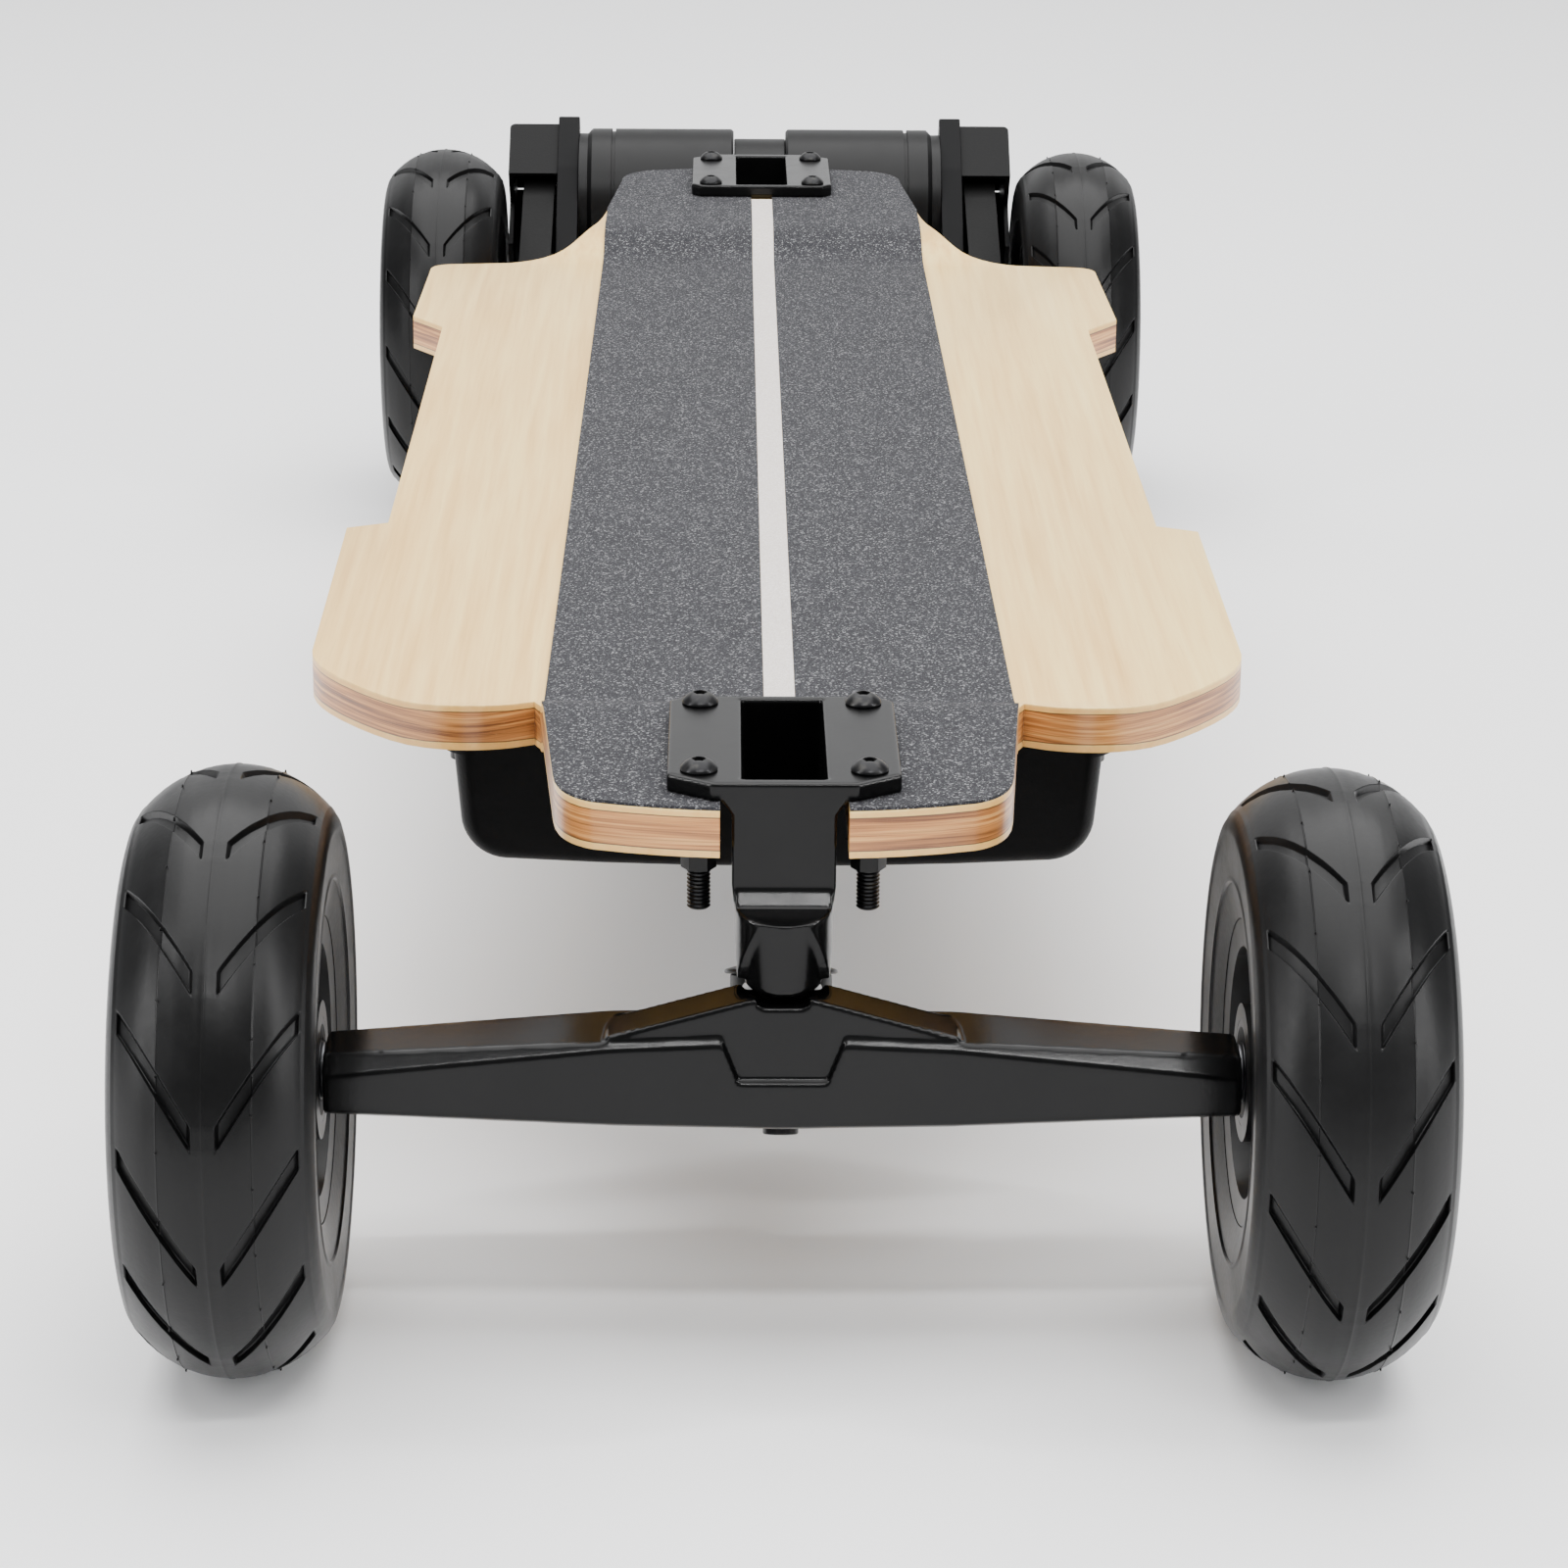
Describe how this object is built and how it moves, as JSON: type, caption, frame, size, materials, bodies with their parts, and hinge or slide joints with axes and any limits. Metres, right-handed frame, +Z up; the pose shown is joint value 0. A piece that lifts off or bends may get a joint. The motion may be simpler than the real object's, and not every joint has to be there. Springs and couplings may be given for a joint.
{
  "type": "electric skateboard",
  "caption": "All-terrain electric skateboard: laminated drop deck on cast steering trucks, pneumatic wheels, belt drive at the rear and a slim battery tray under the deck.",
  "frame": {"origin": "on the ground under the middle of the overall box", "axes": "+Z up, -Y towards the nose, +X to the right when seen from in front of the nose"},
  "size_m": [0.3142, 0.9965, 0.1544],
  "materials": {
    "battery_wrap": "shrink wrap",
    "bearing_steel": "ground steel",
    "belt": "matt moulded rubber",
    "black_steel": "black oxide",
    "bushing": "matt cast urethane",
    "button_plastic": "satin",
    "cap_rubber": "matt",
    "case_plastic": "fine moulded texture",
    "cast_black": "satin black powder coat",
    "controller_metal": "finned block",
    "cover_plastic": "fine moulded texture",
    "grip": "fine grit sheet",
    "motor_black": "satin black",
    "mount_black": "black anodised",
    "pulley_black": "black anodised",
    "rim_black": "satin black powder coat",
    "steel": "turned steel",
    "stripe": "pale fine grit sheet",
    "tube_rubber": "matt",
    "tyre": "matt black rubber with chevron tread",
    "wood": "clear satin lacquer on laminated veneers"
  },
  "bodies": {
    "board": {"battery_pack": "battery_wrap", "centre_stripe": "stripe", "charge_socket": "button_plastic", "cup_washers": "black_steel", "deck_board": "wood", "deck_bolts": "black_steel", "deck_lock_nuts": "black_steel", "enclosure_screws": "black_steel", "enclosure_shell": "case_plastic", "front_baseplate": "cast_black", "front_bushings": "bushing", "kingpin_nuts": "black_steel", "kingpins": "black_steel", "left_grip_sheet": "grip", "motor_controller": "controller_metal", "pivot_cups": "bushing", "rear_baseplate": "cast_black", "rear_bushings": "bushing", "right_grip_sheet": "grip"},
    "front_truck": {"front_hanger": "cast_black", "front_axle": "steel", "front_axle_nuts": "black_steel", "front_axle_spacers": "steel"},
    "rear_truck": {"rear_hanger": "cast_black", "rear_axle": "steel", "rear_axle_nuts": "black_steel", "rear_axle_spacers": "steel", "motor_sleeve": "motor_black", "left_motor_mount": "mount_black", "left_motor_case": "motor_black", "left_belt": "belt", "left_pulley_cover": "cover_plastic", "right_motor_mount": "mount_black", "right_motor_case": "motor_black", "right_belt": "belt", "right_pulley_cover": "cover_plastic"},
    "front_left_wheel": {"front_left_tyre": "tyre", "front_left_inner_tube": "tube_rubber", "front_left_rim": "rim_black", "front_left_bearings": "bearing_steel"},
    "front_right_wheel": {"front_right_tyre": "tyre", "front_right_inner_tube": "tube_rubber", "front_right_rim": "rim_black", "front_right_bearings": "bearing_steel"},
    "rear_left_wheel": {"rear_left_tyre": "tyre", "rear_left_inner_tube": "tube_rubber", "rear_left_rim": "rim_black", "rear_left_bearings": "bearing_steel", "rear_left_wheel_pulley": "pulley_black"},
    "rear_right_wheel": {"rear_right_tyre": "tyre", "rear_right_inner_tube": "tube_rubber", "rear_right_rim": "rim_black", "rear_right_bearings": "bearing_steel", "rear_right_wheel_pulley": "pulley_black"},
    "left_motor_shaft": {"left_motor_rotor": "steel", "left_motor_pulley": "steel"},
    "right_motor_shaft": {"right_motor_rotor": "steel", "right_motor_pulley": "steel"},
    "power_button": {"power_button": "button_plastic"},
    "charge_cap": {"charge_socket_cap": "cap_rubber"}
  },
  "joints": [
    {"name": "front_steer", "type": "hinge", "parent": "board", "child": "front_truck", "pos_m": [0, -0.42325, 0.105], "axis": [0, -0.6569, 0.7539], "range_deg": [-12, 12], "stiffness_Nm_per_rad": 70, "deforming": ["front_bushings"]},
    {"name": "rear_steer", "type": "hinge", "parent": "board", "child": "rear_truck", "pos_m": [0, 0.41075, 0.105], "axis": [0, 0.6569, 0.7539], "range_deg": [-12, 12], "stiffness_Nm_per_rad": 70, "deforming": ["rear_bushings"]},
    {"name": "front_left_spin", "type": "hinge", "parent": "front_truck", "child": "front_left_wheel", "pos_m": [-0.133, -0.42325, 0.075], "axis": [1, 0, 0], "continuous": true},
    {"name": "front_right_spin", "type": "hinge", "parent": "front_truck", "child": "front_right_wheel", "pos_m": [0.133, -0.42325, 0.075], "axis": [1, 0, 0], "continuous": true},
    {"name": "rear_left_spin", "type": "hinge", "parent": "rear_truck", "child": "rear_left_wheel", "pos_m": [-0.133, 0.41075, 0.075], "axis": [1, 0, 0], "continuous": true},
    {"name": "rear_right_spin", "type": "hinge", "parent": "rear_truck", "child": "rear_right_wheel", "pos_m": [0.133, 0.41075, 0.075], "axis": [1, 0, 0], "continuous": true},
    {"name": "left_motor_spin", "type": "hinge", "parent": "rear_truck", "child": "left_motor_shaft", "pos_m": [-0.045, 0.46675, 0.1184], "axis": [1, 0, 0], "continuous": true},
    {"name": "right_motor_spin", "type": "hinge", "parent": "rear_truck", "child": "right_motor_shaft", "pos_m": [0.045, 0.46675, 0.1184], "axis": [1, 0, 0], "continuous": true},
    {"name": "power_button_press", "type": "slide", "parent": "board", "child": "power_button", "axis": [-1, 0, 0], "range_m": [0, 0.0015], "stiffness_N_per_m": 500},
    {"name": "charge_cap_hinge", "type": "hinge", "parent": "board", "child": "charge_cap", "pos_m": [0.0885, -0.05065, 0.11], "axis": [0, 0, -1], "range_deg": [0, 110]}
  ],
  "couplings": [
    {"joint": "left_motor_spin", "follows": "rear_left_spin", "ratio": 2.6667},
    {"joint": "right_motor_spin", "follows": "rear_right_spin", "ratio": 2.6667}
  ]
}
